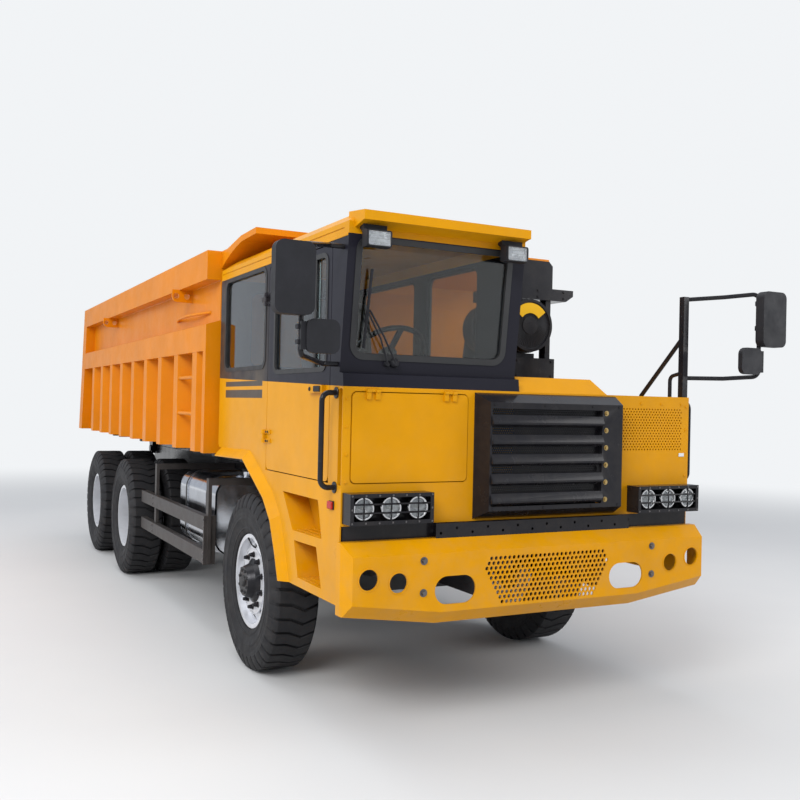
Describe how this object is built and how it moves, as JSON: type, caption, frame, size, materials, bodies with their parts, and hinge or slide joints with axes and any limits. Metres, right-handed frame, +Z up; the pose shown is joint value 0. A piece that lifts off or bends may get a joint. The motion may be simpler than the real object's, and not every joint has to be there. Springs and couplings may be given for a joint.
{
  "type": "mining dump truck",
  "caption": "Rigid mining dump truck with an offset cab, louvred grille, perforated bumper, twin rear axles and a ribbed tipping bed with canopy and tailgate.",
  "frame": {"origin": "on the ground under the middle of the truck's overall length", "axes": "+X to the truck's left, +Y to the tail, +Z up; the front faces -Y"},
  "size_m": [3.288, 8.148, 2.834],
  "materials": {
    "body_yellow": "ochre yellow gloss paint, dusty",
    "bed_orange": "orange-yellow gloss paint",
    "black_paint": "black gloss paint",
    "cab_grey": "satin grey-black paint",
    "bare_steel": "dull bare steel",
    "rim_silver": "silver paint, polished",
    "polished_tank": "polished sheet",
    "glass": "clear, slightly tinted",
    "lamp_lens": "clear lens over reflector",
    "tyre": "lug tread rubber",
    "black_plastic": "matt moulded",
    "seat_fabric": "dark cloth",
    "cast_black": "painted casting",
    "hoist_chrome": "ground rod"
  },
  "bodies": {
    "truck": {"chassis_frame": "black_paint", "front_bumper": "body_yellow", "front_axle": "cast_black", "rear_axles": "cast_black", "leaf_springs": "cast_black", "nose_fascia": "body_yellow", "radiator_grille": "black_paint", "lamp_boxes": "black_paint", "fender_right": "body_yellow", "fender_left": "body_yellow", "front_deck": "body_yellow", "radiator": "cast_black", "engine_block": "cast_black", "cab_shell": "body_yellow", "cab_roof": "cab_grey", "cab_glass": "glass", "driver_seat": "seat_fabric", "dashboard": "black_plastic", "lamps": "lamp_lens", "grab_handles": "black_paint", "mirror_arms": "black_paint", "mirror_heads": "black_plastic", "air_cleaner": "black_paint", "intake_frame": "black_paint", "fuel_tank": "polished_tank", "battery_box": "black_paint", "side_guards": "bare_steel"},
    "front_hatch": {"front_hatch": "body_yellow"},
    "door_right": {"door_right": "body_yellow", "door_glass": "glass"},
    "knuckle_left": {"knuckle_left": "cast_black"},
    "knuckle_right": {"knuckle_right": "cast_black"},
    "bed": {"bed_floor": "bed_orange", "bed_sills": "bed_orange", "bed_side_left": "bed_orange", "bed_side_right": "bed_orange", "bed_front_wall": "bed_orange"},
    "tailgate": {"tailgate": "bed_orange"},
    "hoist_barrel": {"hoist_barrel": "black_paint"},
    "hoist_rod": {"hoist_rod": "hoist_chrome"},
    "wheel_front_left": {"tyre_front_left": "tyre", "rim_front_left": "rim_silver"},
    "wheel_front_right": {"tyre_front_right": "tyre", "rim_front_right": "rim_silver"},
    "wheel_mid_left": {"tyre_mid_left": "tyre", "rim_mid_left": "rim_silver"},
    "wheel_mid_right": {"tyre_mid_right": "tyre", "rim_mid_right": "rim_silver"},
    "wheel_rear_left": {"tyre_rear_left": "tyre", "rim_rear_left": "rim_silver"},
    "wheel_rear_right": {"tyre_rear_right": "tyre", "rim_rear_right": "rim_silver"}
  },
  "joints": [
    {"name": "steer_left", "type": "hinge", "parent": "truck", "child": "knuckle_left", "pos_m": [0.82, -2.26, 0.561], "axis": [0, 0, 1], "range_deg": [-30, 30]},
    {"name": "steer_right", "type": "hinge", "parent": "truck", "child": "knuckle_right", "pos_m": [-0.82, -2.26, 0.561], "axis": [0, 0, 1], "range_deg": [-30, 30]},
    {"name": "door_hinge", "type": "hinge", "parent": "truck", "child": "door_right", "pos_m": [-1.18, -2.623, 1.9], "axis": [0, 0, -1], "range_deg": [0, 85]},
    {"name": "hatch_hinge", "type": "hinge", "parent": "truck", "child": "front_hatch", "pos_m": [-0.773, -3.777, 1.782], "axis": [-1, 0, 0], "range_deg": [0, 80]},
    {"name": "bed_hinge", "type": "hinge", "parent": "truck", "child": "bed", "pos_m": [0, 3.546, 1.12], "axis": [-1, 0, 0], "range_deg": [0, 45]},
    {"name": "tailgate_hinge", "type": "hinge", "parent": "bed", "child": "tailgate", "pos_m": [0, 3.786, 2.735], "axis": [1, 0, 0], "range_deg": [0, 70]},
    {"name": "front_wheel_left", "type": "hinge", "parent": "knuckle_left", "child": "wheel_front_left", "pos_m": [1, -2.26, 0.561], "axis": [1, 0, 0], "continuous": true},
    {"name": "front_wheel_right", "type": "hinge", "parent": "knuckle_right", "child": "wheel_front_right", "pos_m": [-1, -2.26, 0.561], "axis": [1, 0, 0], "continuous": true},
    {"name": "mid_wheel_left", "type": "hinge", "parent": "truck", "child": "wheel_mid_left", "pos_m": [1.085, 1.413, 0.561], "axis": [1, 0, 0], "continuous": true},
    {"name": "mid_wheel_right", "type": "hinge", "parent": "truck", "child": "wheel_mid_right", "pos_m": [-1.085, 1.413, 0.561], "axis": [1, 0, 0], "continuous": true},
    {"name": "rear_wheel_left", "type": "hinge", "parent": "truck", "child": "wheel_rear_left", "pos_m": [1.085, 2.937, 0.561], "axis": [1, 0, 0], "continuous": true},
    {"name": "rear_wheel_right", "type": "hinge", "parent": "truck", "child": "wheel_rear_right", "pos_m": [-1.085, 2.937, 0.561], "axis": [1, 0, 0], "continuous": true},
    {"name": "hoist_foot", "type": "hinge", "parent": "truck", "child": "hoist_barrel", "pos_m": [0, 0.896, 0.82], "axis": [1, 0, 0], "range_deg": [0, 19.1]},
    {"name": "hoist_slide", "type": "slide", "parent": "hoist_barrel", "child": "hoist_rod", "axis": [0, 0.9516, 0.3074], "range_m": [0, 0.862]}
  ],
  "couplings": [
    {"joint": "steer_right", "follows": "steer_left", "ratio": 1},
    {"joint": "hoist_foot", "follows": "bed_hinge", "ratio": 0.4234},
    {"joint": "hoist_slide", "follows": "bed_hinge", "m_per_rad": 1.0972}
  ]
}
